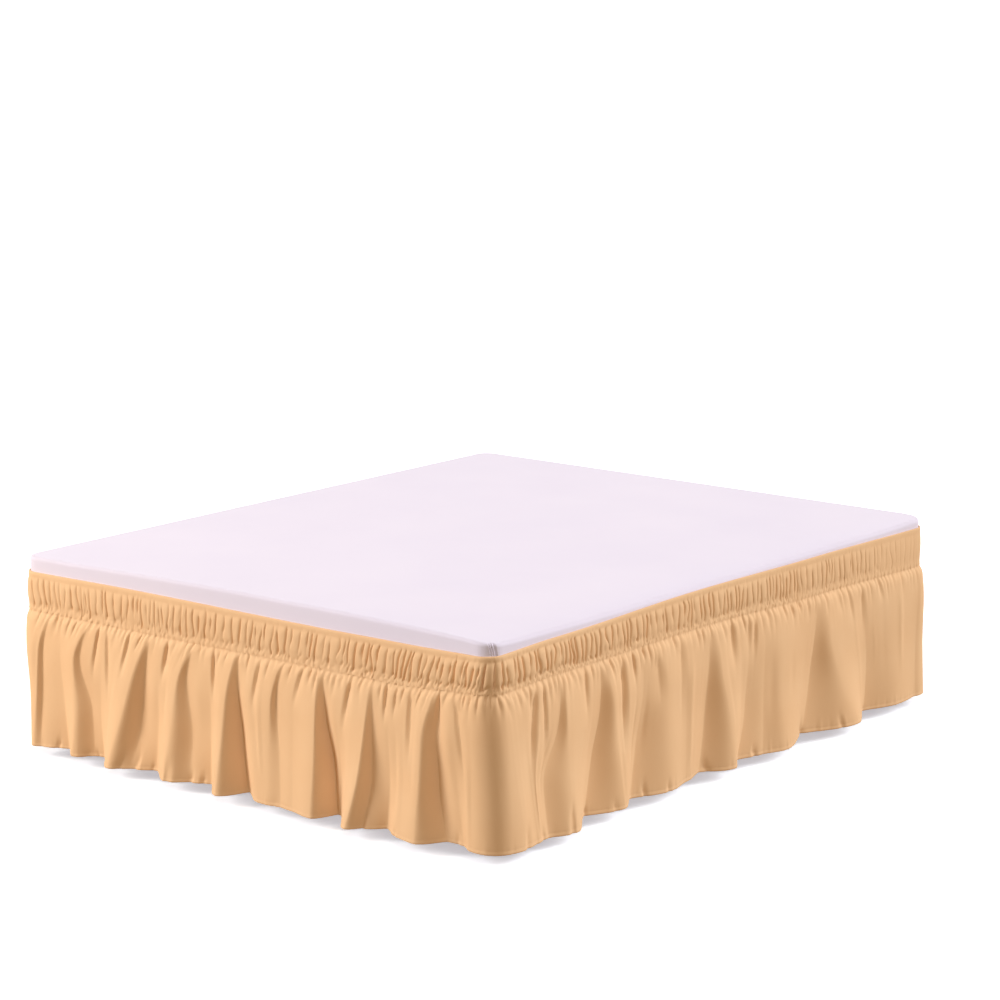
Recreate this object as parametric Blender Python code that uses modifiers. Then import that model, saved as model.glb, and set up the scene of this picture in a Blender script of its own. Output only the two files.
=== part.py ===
"""A gathered bed skirt on the bed it dresses.

The skirt is two sewn pieces. A heading band, puckered by its elastic, grips the mattress
all the way round. One long ruffle is gathered into the band's lower edge and hangs in
folds to just above the floor. The bed is plain: a mattress on a slatted wooden base.

Metres, +Z up. The origin is on the floor under the middle of the bed, the head of the
bed is towards +Y. A "place" is a distance round the bed, counted from the foot's left
corner along the foot, the right side, the head and the left side.
"""
import math
import random

import bmesh
import bpy
from mathutils import Matrix, Vector

# Bed
BED_WIDTH = 1.600
BED_LENGTH = 1.950
MATTRESS_TOP = 0.545
MATTRESS_HEIGHT = 0.200
MATTRESS_CORNER = 0.045     # radius of the corners, seen from above
MATTRESS_EDGE = 0.022       # radius of the top and bottom edges
CORNER_STEPS = 6
EDGE_STEPS = 3
FIT_GAP = 0.0003            # between pieces that rest on each other

# Base: how far in from the mattress its parts stop. The side rails and the legs stand well
# back, so that the ruffle hangs free and hides them, and the slats reach out over the rails.
SIDE_RAIL_INSET = 0.120
END_RAIL_INSET = 0.050
LEG_END_INSET = 0.150
SLAT_INSET = 0.030
RAIL_HEIGHT = 0.110
RAIL_THICK = 0.025
LEG_SIDE = 0.060
SLAT_COUNT = 11
SLAT_WIDTH = 0.080
SLAT_THICK = 0.018
WOOD_EDGE = 0.002

# Skirt
HEM_HEIGHT = 0.030          # hem above the floor
CLOTH_THICK = 0.002
BAND_GAP = 0.0005           # band to mattress
PUCKER_COUNT = 260
PUCKER_UNEVEN = 0.5         # share by which a pucker's height may fall short
RUFFLE_SEAM_OUT = 0.0075    # outer face of the ruffle at the seam, out from the mattress
RUFFLE_MIDDLE_OUT = 0.018   # where its hem hangs at HEM_HEIGHT; further out it hangs lower
HEM_FALL = 0.12             # by this share of the distance
RUFFLE_COLUMN_PITCH = 0.027
HIDDEN_FOLD_PITCH = 0.165
HIDDEN_FOLD_SPREAD = (0.55, 1.45)   # narrowest and broadest of them, as shares of the pitch
WELD = 0.00005

# The band's edges rise and dip as the elastic pulls: heights above the hem.
BAND_LINE = (
    # place, top,   seam
    (0.00, 0.475, 0.371),   # foot, left corner
    (0.45, 0.479, 0.371),
    (1.05, 0.477, 0.374),
    (1.30, 0.479, 0.375),
    (1.60, 0.483, 0.389),   # foot, right corner
    (1.85, 0.488, 0.396),
    (2.45, 0.498, 0.400),   # right side, middle
    (3.00, 0.493, 0.388),
    (3.55, 0.487, 0.378),   # head, right corner
    (4.35, 0.480, 0.374),   # head, middle
    (5.15, 0.484, 0.378),   # head, left corner
    (6.10, 0.478, 0.372),   # left side, middle
)

# Section through the band: share of its height, distance out from the mattress, and how
# far a pucker's crest stands out and its groove sinks in there.
BAND_SECTION = (
    # up,   out,    pucker
    (0.00, BAND_GAP, 0.0000),   # lower edge, inside
    (0.00, 0.0065, 0.0012),     # lower edge, sewn to the ruffle
    (0.16, 0.0055, 0.0014),     # shirred by the lower rows of elastic
    (0.45, 0.0080, 0.0030),     # puckers stand highest
    (0.86, 0.0060, 0.0014),     # stitched line under the casing
    (1.00, 0.0045, 0.0000),     # smooth folded top edge
    (1.00, BAND_GAP, 0.0000),   # top edge, inside
)

# Levels of the ruffle from hem to seam: share of the drop, how far the cloth swells out
# there between its folds, and how much further every second column does, as one of the
# small gathers that run out below the seam.
RUFFLE_LEVELS = (
    # down, swell,  gather
    (1.00, 0.0000, 0.0000),
    (0.82, 0.0000, 0.0000),
    (0.65, 0.0000, 0.0000),
    (0.47, 0.0006, 0.0008),
    (0.30, 0.0016, 0.0022),
    (0.11, 0.0026, 0.0036),
    (0.00, 0.0000, 0.0020),
)

# The ruffle's folds as lines that run from the seam to the hem: a crest, the foot of the
# steep slope beside it, and where the cloth lies flattest before the next crest rises.
# Each line's place from the side's left end at four levels, and its distance out at three.
FOLD_LEVELS = (0.00, 0.30, 0.65, 1.00)
FOOT_FOLDS = (
    # seam,  upper,  lower,  hem,    out:    upper,  lower,  hem
    (0.098, 0.065, 0.055, 0.043, 0.018, 0.020, 0.022),
    (0.111, 0.077, 0.068, 0.064, 0.007, 0.008, 0.014),
    (0.163, 0.146, 0.148, 0.151, 0.010, 0.003, -0.008),
    (0.249, 0.204, 0.210, 0.200, 0.020, 0.025, 0.028),
    (0.261, 0.219, 0.252, 0.253, 0.008, 0.000, -0.004),
    (0.309, 0.297, 0.284, 0.282, 0.011, 0.003, -0.009),
    (0.473, 0.429, 0.388, 0.349, 0.024, 0.036, 0.048),
    (0.485, 0.456, 0.431, 0.407, 0.002, -0.002, 0.016),
    (0.531, 0.511, 0.496, 0.480, 0.011, 0.002, -0.006),
    (0.628, 0.586, 0.570, 0.554, 0.022, 0.034, 0.042),
    (0.642, 0.606, 0.620, 0.614, 0.005, 0.004, 0.012),
    (0.696, 0.696, 0.686, 0.676, 0.012, 0.003, -0.006),
    (0.783, 0.763, 0.753, 0.745, 0.026, 0.040, 0.053),
    (0.797, 0.785, 0.788, 0.803, 0.000, -0.010, -0.012),
    (0.845, 0.845, 0.857, 0.873, 0.016, 0.022, 0.030),
    (0.933, 0.913, 0.907, 0.910, 0.022, 0.026, 0.031),
    (0.945, 0.923, 0.937, 0.945, 0.010, 0.018, 0.026),
    (0.994, 0.984, 0.984, 0.989, 0.016, 0.024, 0.032),
    (1.062, 1.066, 1.068, 1.062, 0.026, 0.040, 0.048),
    (1.078, 1.080, 1.097, 1.107, -0.001, -0.010, -0.009),
    (1.124, 1.124, 1.129, 1.117, 0.012, 0.004, -0.008),
    (1.233, 1.227, 1.217, 1.189, 0.024, 0.044, 0.061),
    (1.244, 1.241, 1.238, 1.221, 0.008, 0.010, 0.030),
    (1.303, 1.293, 1.291, 1.277, 0.012, 0.006, 0.000),
    (1.353, 1.343, 1.343, 1.338, 0.016, 0.022, 0.034),
    (1.435, 1.409, 1.405, 1.397, 0.026, 0.037, 0.046),
    (1.450, 1.436, 1.438, 1.462, 0.000, -0.006, -0.008),
    (1.492, 1.492, 1.502, 1.514, 0.010, 0.000, -0.006),
    (1.552, 1.552, 1.552, 1.550, 0.012, 0.012, 0.012),
)
RIGHT_FOLDS = (
    # seam,  upper,  lower,  hem,    out:    upper,  lower,  hem
    (0.041, 0.049, 0.066, 0.084, 0.020, 0.032, 0.042),
    (0.102, 0.112, 0.127, 0.142, 0.016, 0.022, 0.032),
    (0.255, 0.244, 0.185, 0.193, 0.012, 0.014, 0.025),
    (0.270, 0.262, 0.260, 0.269, 0.026, 0.038, 0.051),
    (0.415, 0.420, 0.400, 0.378, 0.004, -0.006, -0.009),
    (0.437, 0.459, 0.477, 0.504, 0.024, 0.026, 0.024),
    (0.587, 0.597, 0.587, 0.571, 0.006, -0.006, -0.010),
    (0.698, 0.690, 0.695, 0.706, 0.020, 0.024, 0.024),
    (0.778, 0.778, 0.783, 0.789, 0.014, 0.012, 0.008),
    (0.881, 0.885, 0.887, 0.874, 0.004, -0.006, -0.012),
    (0.912, 0.925, 0.962, 0.978, 0.020, 0.028, 0.032),
    (1.041, 1.061, 1.063, 1.037, 0.008, 0.000, -0.004),
    (1.122, 1.132, 1.132, 1.132, 0.012, 0.012, 0.014),
    (1.197, 1.203, 1.202, 1.215, 0.020, 0.028, 0.036),
    (1.389, 1.380, 1.376, 1.356, 0.004, -0.006, -0.012),
    (1.430, 1.436, 1.490, 1.551, 0.022, 0.030, 0.042),
    (1.606, 1.626, 1.657, 1.665, 0.008, 0.000, -0.010),
    (1.768, 1.778, 1.788, 1.808, 0.014, 0.018, 0.020),
    (1.899, 1.899, 1.899, 1.899, 0.010, 0.010, 0.012),
)
FOOT_REACH = max(row[-1] for row in FOOT_FOLDS)
RIGHT_REACH = max(row[-1] for row in RIGHT_FOLDS)

PERIMETER = 2 * (BED_WIDTH + BED_LENGTH)
SIDE_LENGTHS = (BED_WIDTH, BED_LENGTH, BED_WIDTH, BED_LENGTH)
CORNERS = (
    Vector((-BED_WIDTH / 2, -BED_LENGTH / 2)),
    Vector((BED_WIDTH / 2, -BED_LENGTH / 2)),
    Vector((BED_WIDTH / 2, BED_LENGTH / 2)),
    Vector((-BED_WIDTH / 2, BED_LENGTH / 2)),
)


def blend(start, end, share):
    return start + (end - start) * share


def ease(share):
    """Half a cosine wave, level at both ends."""
    return (1 - math.cos(math.pi * share)) / 2


def linear_colour(hex_colour):
    """sRGB hex digits to the linear RGBA that a shader takes."""
    channels = [int(hex_colour[i:i + 2], 16) / 255 for i in (0, 2, 4)]
    linear = [c / 12.92 if c <= 0.04045 else ((c + 0.055) / 1.055) ** 2.4 for c in channels]
    return (*linear, 1.0)


def make_material(name, hex_colour, roughness):
    material = bpy.data.materials.new(name)
    material.use_nodes = True
    shader = material.node_tree.nodes["Principled BSDF"]
    shader.inputs["Base Color"].default_value = linear_colour(hex_colour)
    shader.inputs["Roughness"].default_value = roughness
    shader.inputs["Metallic"].default_value = 0.0
    return material


def add_piece(name, mesh, material, collection):
    mesh.materials.append(material)
    piece = bpy.data.objects.new(name, mesh)
    collection.objects.link(piece)
    return piece


def round_the_bed(place, out):
    """The point at a place round the mattress and a distance out from its side."""
    place %= PERIMETER
    side = 0
    while place > SIDE_LENGTHS[side]:
        place -= SIDE_LENGTHS[side]
        side += 1
    start = CORNERS[side]
    along = (CORNERS[(side + 1) % 4] - start).normalized()
    outward = Vector((along.y, -along.x))
    left = SIDE_LENGTHS[side] - place
    eighth_turn = math.pi / 4
    turn = 0.0
    if place < MATTRESS_CORNER:
        turn = -eighth_turn * (1 - place / MATTRESS_CORNER)
        place = MATTRESS_CORNER
    elif left < MATTRESS_CORNER:
        turn = eighth_turn * (1 - left / MATTRESS_CORNER)
        place = SIDE_LENGTHS[side] - MATTRESS_CORNER
    centre = start + along * place - outward * MATTRESS_CORNER
    return centre + Matrix.Rotation(turn, 2) @ outward * (MATTRESS_CORNER + out)


def band_heights(place):
    """Height of the band's top edge and of the seam above the floor at a place."""
    place %= PERIMETER
    rows = BAND_LINE + ((PERIMETER, *BAND_LINE[0][1:]),)
    for (start, top, seam), (end, next_top, next_seam) in zip(rows, rows[1:]):
        if place <= end:
            share = ease((place - start) / (end - start))
            return (HEM_HEIGHT + blend(top, next_top, share),
                    HEM_HEIGHT + blend(seam, next_seam, share))


def wrap_grid(name, columns, rows, shape, closed_section):
    """A flat grid wrapped once round the bed, each point put where shape() says."""
    bm = bmesh.new()
    bmesh.ops.create_grid(bm, x_segments=columns, y_segments=rows, size=1.0)
    for vert in bm.verts:
        column = round((vert.co.x + 1) / 2 * columns)
        row = round((vert.co.y + 1) / 2 * rows)
        vert.co = shape(column % columns, row % rows if closed_section else row)
    bmesh.ops.remove_doubles(bm, verts=bm.verts, dist=WELD)
    mesh = bpy.data.meshes.new(name)
    bm.to_mesh(mesh)
    bm.free()
    mesh.shade_smooth()
    mesh.set_sharp_from_angle(angle=math.radians(50))
    return mesh


def hidden_folds(length, reach, seed):
    """Folds of a side that faces away: like those that show, some broad and some narrow."""
    rng = random.Random(seed)
    shares = [rng.uniform(*HIDDEN_FOLD_SPREAD) for _ in range(round(length / HIDDEN_FOLD_PITCH))]
    rows = []
    start = 0.0
    for share in shares:
        width = length * share / sum(shares)
        crest = start + rng.uniform(0.22, 0.38) * width
        spread = rng.uniform(0.25, 0.38) * width
        rest = start + rng.uniform(0.83, 0.93) * width
        lean = rng.uniform(-0.08, 0.14) * width
        tall = reach if share == max(shares) else reach * min(1.0, share) * rng.uniform(0.55, 0.95)
        deep = rng.uniform(-0.010, 0.004)
        rows.append((crest + lean, crest + 0.60 * lean, crest + 0.25 * lean, crest,
                     0.024, 0.80 * tall, tall))
        rows.append((crest + lean + 0.014, crest + 0.60 * lean + 0.45 * spread,
                     crest + 0.25 * lean + 0.80 * spread, crest + spread, 0.004, deep, deep))
        rows.append((rest, rest, rest, rest, 0.011, 0.003, deep))
        start += width
    return tuple(rows)


def fold_lines():
    """The fold lines once round the bed: places and distances out at the four levels."""
    sides = (FOOT_FOLDS, RIGHT_FOLDS,
             hidden_folds(BED_WIDTH, FOOT_REACH, 3), hidden_folds(BED_LENGTH, RIGHT_REACH, 5))
    lines = []
    start = 0.0
    for folds, length in zip(sides, SIDE_LENGTHS):
        lines += [([start + place for place in row[:4]], [RUFFLE_SEAM_OUT, *row[4:]])
                  for row in folds]
        start += length
    first_places, first_outs = lines[0]
    lines.append(([place + PERIMETER for place in first_places], first_outs))
    return lines


def at_level(values, down):
    """The value at a share of the drop, from the values at the fold levels."""
    index = 0
    while down > FOLD_LEVELS[index + 1]:
        index += 1
    start, end = FOLD_LEVELS[index:index + 2]
    return blend(values[index], values[index + 1], (down - start) / (end - start))


def fold_slope(start, end, share):
    """Distance out between two fold lines: round at the higher one, sharper at the lower."""
    climb = share if end > start else 1 - share
    rise = (math.sin(climb * math.pi / 2) + ease(climb)) / 2
    return min(start, end) + abs(end - start) * rise


def ruffle_columns():
    """Columns of the ruffle: the fold lines on either side, and the share of the way between."""
    columns = []
    lines = fold_lines()
    for line, next_line in zip(lines, lines[1:]):
        widest = max(end - start for start, end in zip(line[0], next_line[0]))
        steps = max(1, round(widest / RUFFLE_COLUMN_PITCH))
        columns += [(line, next_line, step / steps) for step in range(steps)]
    return columns


def make_ruffle(material, collection):
    """One long gathered strip, its ends joined, hung from the band's lower edge."""
    columns = ruffle_columns()

    def shape(column, row):
        (places, outs), (next_places, next_outs), share = columns[column]
        down, swell, gather = RUFFLE_LEVELS[row]
        out = fold_slope(at_level(outs, down), at_level(next_outs, down), share)
        out += swell + gather * (column % 2)
        place = blend(at_level(places, down), at_level(next_places, down), share)
        seam = band_heights(blend(places[0], next_places[0], share))[1] - FIT_GAP
        hem_out = fold_slope(outs[-1], next_outs[-1], share)
        drop = math.sqrt((seam - HEM_HEIGHT) ** 2 - (hem_out - RUFFLE_SEAM_OUT) ** 2)
        fall = HEM_FALL * (hem_out - RUFFLE_MIDDLE_OUT)
        point = round_the_bed(place, out)
        return Vector((point.x, point.y, seam - drop * down - fall * down ** 2))

    mesh = wrap_grid("ruffle", len(columns), len(RUFFLE_LEVELS) - 1, shape, False)
    ruffle = add_piece("ruffle", mesh, material, collection)
    cloth = ruffle.modifiers.new("cloth_thickness", "SOLIDIFY")
    cloth.thickness = CLOTH_THICK
    cloth.offset = -1.0
    return ruffle


def make_band(material, collection):
    """The elastic heading: its section carried round the mattress, a pucker every two columns."""
    rng = random.Random(7)
    columns = 2 * PUCKER_COUNT
    strength = [1 - PUCKER_UNEVEN * rng.random() for _ in range(columns)]
    shift = [rng.uniform(-0.15, 0.15) for _ in range(columns)]

    def shape(column, row):
        up, out, pucker = BAND_SECTION[row]
        place = (column + shift[column] * (pucker > 0)) / columns * PERIMETER
        top, seam = band_heights(place)
        crest = 1 if column % 2 else -1
        point = round_the_bed(place, out + pucker * strength[column] * crest)
        return Vector((point.x, point.y, blend(seam, top, up)))

    mesh = wrap_grid("heading_band", columns, len(BAND_SECTION), shape, True)
    return add_piece("heading_band", mesh, material, collection)


def add_box(name, low, high, edge, material, collection):
    """A straight piece of timber between two corners, with eased edges."""
    bm = bmesh.new()
    bmesh.ops.create_cube(bm, size=1.0)
    size = Vector(high) - Vector(low)
    bmesh.ops.scale(bm, vec=size, verts=bm.verts)
    mesh = bpy.data.meshes.new(name)
    bm.to_mesh(mesh)
    bm.free()
    box = add_piece(name, mesh, material, collection)
    box.location = (Vector(low) + Vector(high)) / 2
    bevel = box.modifiers.new("eased_edges", "BEVEL")
    bevel.width = edge
    bevel.segments = 1
    return box


def make_mattress(material, collection):
    """A plain covered mattress: a block with round corners, then round edges."""
    bm = bmesh.new()
    bmesh.ops.create_cube(bm, size=1.0)
    bmesh.ops.scale(bm, vec=(BED_WIDTH, BED_LENGTH, MATTRESS_HEIGHT), verts=bm.verts)
    upright = [e for e in bm.edges if abs(e.verts[0].co.z - e.verts[1].co.z) > WELD]
    bmesh.ops.bevel(bm, geom=upright, offset=MATTRESS_CORNER, segments=CORNER_STEPS,
                    profile=0.5, affect="EDGES")
    rims = [e for e in bm.edges if len({round(f.normal.z) for f in e.link_faces}) == 2]
    bmesh.ops.bevel(bm, geom=rims, offset=MATTRESS_EDGE, segments=EDGE_STEPS,
                    profile=0.5, affect="EDGES")
    mesh = bpy.data.meshes.new("mattress")
    bm.to_mesh(mesh)
    bm.free()
    mesh.shade_smooth()
    mesh.set_sharp_from_angle(angle=math.radians(40))
    mattress = add_piece("mattress", mesh, material, collection)
    mattress.location.z = MATTRESS_TOP - MATTRESS_HEIGHT / 2
    return mattress


def make_base(material, collection):
    """Two side rails joined by end rails, legs against their inner faces, slats across."""
    half_width = BED_WIDTH / 2 - SIDE_RAIL_INSET
    half_length = BED_LENGTH / 2 - END_RAIL_INSET
    slat_bottom = MATTRESS_TOP - MATTRESS_HEIGHT - FIT_GAP - SLAT_THICK
    rail_top = slat_bottom - FIT_GAP
    rail_bottom = rail_top - RAIL_HEIGHT
    inside = half_width - RAIL_THICK - FIT_GAP

    def timber(name, low, high):
        add_box(name, low, high, WOOD_EDGE, material, collection)

    for x_name, x_sign in (("left", -1), ("right", 1)):
        rail_x = sorted((x_sign * half_width, x_sign * (half_width - RAIL_THICK)))
        timber(f"side_rail_{x_name}", (rail_x[0], -half_length, rail_bottom),
               (rail_x[1], half_length, rail_top))
        leg_x = sorted((x_sign * inside, x_sign * (inside - LEG_SIDE)))
        for y_name, y_sign in (("foot", -1), ("head", 1)):
            leg_end = BED_LENGTH / 2 - LEG_END_INSET
            leg_y = sorted((y_sign * leg_end, y_sign * (leg_end - LEG_SIDE)))
            timber(f"leg_{y_name}_{x_name}", (leg_x[0], leg_y[0], 0.0),
                   (leg_x[1], leg_y[1], rail_top))
    for name, sign in (("foot", -1), ("head", 1)):
        faces = sorted((sign * half_length, sign * (half_length - RAIL_THICK)))
        timber(f"end_rail_{name}", (-inside, faces[0], rail_bottom),
               (inside, faces[1], rail_top))
    middle_length = half_length - RAIL_THICK - FIT_GAP
    timber("middle_rail", (-RAIL_THICK / 2, -middle_length, rail_bottom),
           (RAIL_THICK / 2, middle_length, rail_top))
    timber("middle_leg", (-LEG_SIDE / 2, -LEG_SIDE / 2, 0.0),
           (LEG_SIDE / 2, LEG_SIDE / 2, rail_bottom - FIT_GAP))
    slat_end = BED_WIDTH / 2 - SLAT_INSET
    slat_span = 2 * half_length - SLAT_WIDTH
    for index in range(SLAT_COUNT):
        centre = slat_span * (index / (SLAT_COUNT - 1) - 0.5)
        timber(f"slat_{index + 1:02d}",
               (-slat_end, centre - SLAT_WIDTH / 2, slat_bottom),
               (slat_end, centre + SLAT_WIDTH / 2, slat_bottom + SLAT_THICK))


def main():
    for existing in list(bpy.data.objects):
        bpy.data.objects.remove(existing, do_unlink=True)
    parts = bpy.data.collections.new("bed_skirt")
    bpy.context.scene.collection.children.link(parts)
    skirt_cloth = make_material("skirt_cloth", "F0C48C", 0.85)
    cover_cloth = make_material("mattress_cover", "F0E8F2", 0.90)
    pine = make_material("base_pine", "C9A26B", 0.60)
    make_band(skirt_cloth, parts)
    make_ruffle(skirt_cloth, parts)
    make_mattress(cover_cloth, parts)
    make_base(pine, parts)


main()
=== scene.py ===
"""A gathered bed skirt on the bed it dresses: the looks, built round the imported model.

Metres, +Z up, the origin on the floor under the middle of the bed, the head towards +Y.
A "place" is a distance round the bed, counted from the foot's left corner along the foot,
the right side, the head and the left side.
"""
import math
import random

import bpy
import numpy as np
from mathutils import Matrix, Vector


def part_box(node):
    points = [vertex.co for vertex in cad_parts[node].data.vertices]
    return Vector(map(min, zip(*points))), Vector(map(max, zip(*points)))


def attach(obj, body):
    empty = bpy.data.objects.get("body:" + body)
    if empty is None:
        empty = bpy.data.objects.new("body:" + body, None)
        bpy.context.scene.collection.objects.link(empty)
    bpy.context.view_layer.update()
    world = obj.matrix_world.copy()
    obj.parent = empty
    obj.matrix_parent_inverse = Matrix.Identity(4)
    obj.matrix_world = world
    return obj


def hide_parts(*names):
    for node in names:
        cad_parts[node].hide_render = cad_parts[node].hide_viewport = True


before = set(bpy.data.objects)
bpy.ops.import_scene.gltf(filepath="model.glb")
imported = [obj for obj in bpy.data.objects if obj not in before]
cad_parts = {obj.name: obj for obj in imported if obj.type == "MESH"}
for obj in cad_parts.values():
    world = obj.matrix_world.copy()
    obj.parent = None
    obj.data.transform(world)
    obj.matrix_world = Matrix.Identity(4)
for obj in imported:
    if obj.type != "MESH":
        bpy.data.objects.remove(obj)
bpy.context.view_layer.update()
bpy.ops.object.select_all(action="DESELECT")


# ---------------------------------------------------------------------------------------
# Camera: stands off the foot's right corner at head height and looks slightly down, with
# a long lens, as the photograph does.
CAMERA_PLACE = (5.369, -6.620, 2.345)
CAMERA_DOWN = 11.301    # degrees below level
CAMERA_TURN = 38.805    # degrees to the left of straight up the bed
bpy.ops.object.camera_add(
    location=CAMERA_PLACE,
    rotation=(math.radians(90 - CAMERA_DOWN), 0.0, math.radians(CAMERA_TURN)))
camera = bpy.context.object
camera.name = "photo_camera"
camera.data.sensor_width = 36.0
camera.data.lens = 114.3
camera.data.clip_end = 200.0
bpy.context.scene.camera = camera


# ---------------------------------------------------------------------------------------
# Mattress: a foam or sprung block in a fitted cotton cover, pulled tight, with rounded
# edges. The cover's spare cloth is tucked into a few small pinched pleats at the corner
# nearest the foot's right.
mattress_low, mattress_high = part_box("mattress")
BED_WIDTH = mattress_high.x - mattress_low.x
BED_LENGTH = mattress_high.y - mattress_low.y
MATTRESS_CORNER = 0.045
MATTRESS_EDGE = 0.010
MATTRESS_CROWN = 0.004
TINY = 1e-9    # keeps a division by nothing away

bpy.ops.mesh.primitive_cube_add(size=1.0, location=(mattress_low + mattress_high) / 2)
mattress = bpy.context.object
mattress.name = "mattress_covered"
mattress.dimensions = mattress_high - mattress_low
bpy.ops.object.transform_apply(location=True, rotation=True, scale=True)

# Cuts across the block, close together in its rounded edges and corners.
EDGE_CUTS = (0.0008, 0.0022, 0.0042, 0.0068, 0.0100, 0.0150,
             0.0210, 0.0290, 0.0370, 0.0450, 0.0700)
MIDDLE_CUTS = 16
bpy.ops.object.mode_set(mode="EDIT")
for axis in range(3):
    low, high = mattress_low[axis], mattress_high[axis]
    cuts = [low + cut for cut in EDGE_CUTS] + [high - cut for cut in EDGE_CUTS]
    if axis < 2:
        inner = high - low - 2 * EDGE_CUTS[-1]
        cuts += [low + EDGE_CUTS[-1] + inner * step / MIDDLE_CUTS
                 for step in range(1, MIDDLE_CUTS)]
    normal = [float(axis == other) for other in range(3)]
    for cut in cuts:
        bpy.ops.mesh.select_all(action="SELECT")
        bpy.ops.mesh.bisect(plane_co=[cut if axis == other else 0.0 for other in range(3)],
                            plane_no=normal)
bpy.ops.object.mode_set(mode="OBJECT")


def get_points(piece):
    """The piece's points, a row of x, y and z for each."""
    points = np.empty(len(piece.data.vertices) * 3)
    piece.data.vertices.foreach_get("co", points)
    return points.reshape(-1, 3)


def set_points(piece, points):
    """Moves the piece's points to these rows."""
    piece.data.vertices.foreach_set("co", points.astype(np.float32).ravel())
    piece.data.update()


def square_to_round(first, second):
    """The share by which a point of a square is drawn in to lie on a quarter circle."""
    longest = np.maximum(first, second)
    diagonal = np.hypot(first, second)
    return np.where(diagonal > TINY, longest / np.maximum(diagonal, TINY), 1.0)


# The upright corners are rounded first, then the top and bottom edges.
middle = np.array((mattress_low + mattress_high) / 2)
half = np.array((mattress_high - mattress_low) / 2)
points = get_points(mattress) - middle
side = np.sign(points)
reach = np.abs(points)
over = np.maximum(reach[:, :2] - (half[:2] - MATTRESS_CORNER), 0.0)
both = (over > 0).all(axis=1)
# the sharp-cornered outline is kept as the distance in from it, before rounding
inset = np.minimum(half[0] - reach[:, 0], half[1] - reach[:, 1])
shrink = np.where(both, square_to_round(over[:, 0], over[:, 1]), 1.0)[:, None]
flat = np.where(both[:, None], half[:2] - MATTRESS_CORNER + over * shrink, reach[:, :2])
outward = np.where(both[:, None],
                   over / np.maximum(np.linalg.norm(over, axis=1), TINY)[:, None],
                   (half[:2] - reach[:, :2] == inset[:, None]).astype(float))
depth = half[2] - reach[:, 2]
near_edge = (inset < MATTRESS_EDGE) & (depth < MATTRESS_EDGE)
rounding = square_to_round(MATTRESS_EDGE - inset, MATTRESS_EDGE - depth)
new_inset = np.where(near_edge, MATTRESS_EDGE - (MATTRESS_EDGE - inset) * rounding, inset)
new_depth = np.where(near_edge, MATTRESS_EDGE - (MATTRESS_EDGE - depth) * rounding, depth)
flat -= outward * (new_inset - inset)[:, None]
rounded = np.column_stack((flat, half[2] - new_depth)) * np.where(side == 0, 1, side)
set_points(mattress, rounded + middle)

# The corner nearest the foot's right is cut finer for its pleats.
PLEAT_ZONE = 0.130
PLEAT_ZONE_DEPTH = 0.080
corner_point = np.array((mattress_high.x, mattress_low.y))
bpy.ops.object.mode_set(mode="EDIT")
bpy.ops.mesh.select_all(action="DESELECT")
bpy.ops.object.mode_set(mode="OBJECT")
for face in mattress.data.polygons:
    gap = np.hypot(*(np.array(face.center[:2]) - corner_point))
    face.select = bool(gap < PLEAT_ZONE and face.center.z > mattress_high.z - PLEAT_ZONE_DEPTH)
bpy.ops.object.mode_set(mode="EDIT")
bpy.ops.mesh.subdivide(number_cuts=4)
bpy.ops.object.mode_set(mode="OBJECT")

# Pleats of the cover at that corner: where each lies round the corner as an angle from
# straight off the foot, how deep and wide it is, and how far in over the top it runs.
CORNER_PLEATS = (
    # angle, depth,  width,  run
    (43.0, 0.0022, 0.0016, 0.020),
    (50.0, 0.0034, 0.0018, 0.026),
    (59.0, 0.0040, 0.0026, 0.018),
)
PLEAT_SLANT = 260.0    # degrees round the corner for each metre down the side
PLEAT_END = 0.055      # how far down the side the pleats begin to fade
PLEAT_FADE = 0.030
PLEAT_SAG = 0.7        # how far a pleat sinks on the top, as a share of its depth
CORNER_MARGIN = 0.02   # how far past the rounded corner the pleats may reach
points = get_points(mattress)
centre = corner_point + np.array((-MATTRESS_CORNER, MATTRESS_CORNER))
away = points[:, :2] - centre
radius = np.hypot(away[:, 0], away[:, 1])
angle = np.degrees(np.arctan2(away[:, 0], -away[:, 1]))
in_corner = (away[:, 0] > -CORNER_MARGIN) & (away[:, 1] < CORNER_MARGIN)
for pleat_angle, pleat_depth, pleat_width, pleat_run in CORNER_PLEATS:
    slant = PLEAT_SLANT * (mattress_high.z - points[:, 2])
    across = np.radians(angle - pleat_angle - slant) * np.maximum(radius, 0.01)
    inward = np.clip((MATTRESS_CORNER - radius) / pleat_run, 0, 1)
    below = np.clip((mattress_high.z - PLEAT_END - points[:, 2]) / PLEAT_FADE, 0, 1)
    sink = pleat_depth * np.exp(-(across / pleat_width) ** 2) * (1 - inward) ** 1.5 * (1 - below)
    sink = np.where(in_corner, sink, 0.0)
    points[:, :2] -= away / np.maximum(radius, TINY)[:, None] * sink[:, None]
    points[:, 2] -= sink * PLEAT_SAG * (points[:, 2] > mattress_high.z - MATTRESS_EDGE)

# How far the top's edge stands up along the foot, from its left corner to its right.
FOOT_RISE = np.array((
    # share, rise
    (-1.00, 0.000),
    (-0.80, 0.001),
    (-0.50, 0.007),
    (-0.10, 0.012),
    (0.45, 0.012),
    (0.75, 0.009),
    (0.90, 0.005),
    (1.00, 0.000),
))
FOOT_RISE_RUN = 0.45    # how far in over the top the rise runs out

# How far the cover pulls the top's right edge down, from the foot to the head.
RIGHT_FALL = np.array((
    # share, fall
    (-1.00, 0.001),
    (-0.90, 0.006),
    (-0.60, 0.010),
    (0.80, 0.010),
    (1.00, 0.005),
))
RIGHT_FALL_RUN = 0.07    # how far in, and down, the fall runs out

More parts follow.
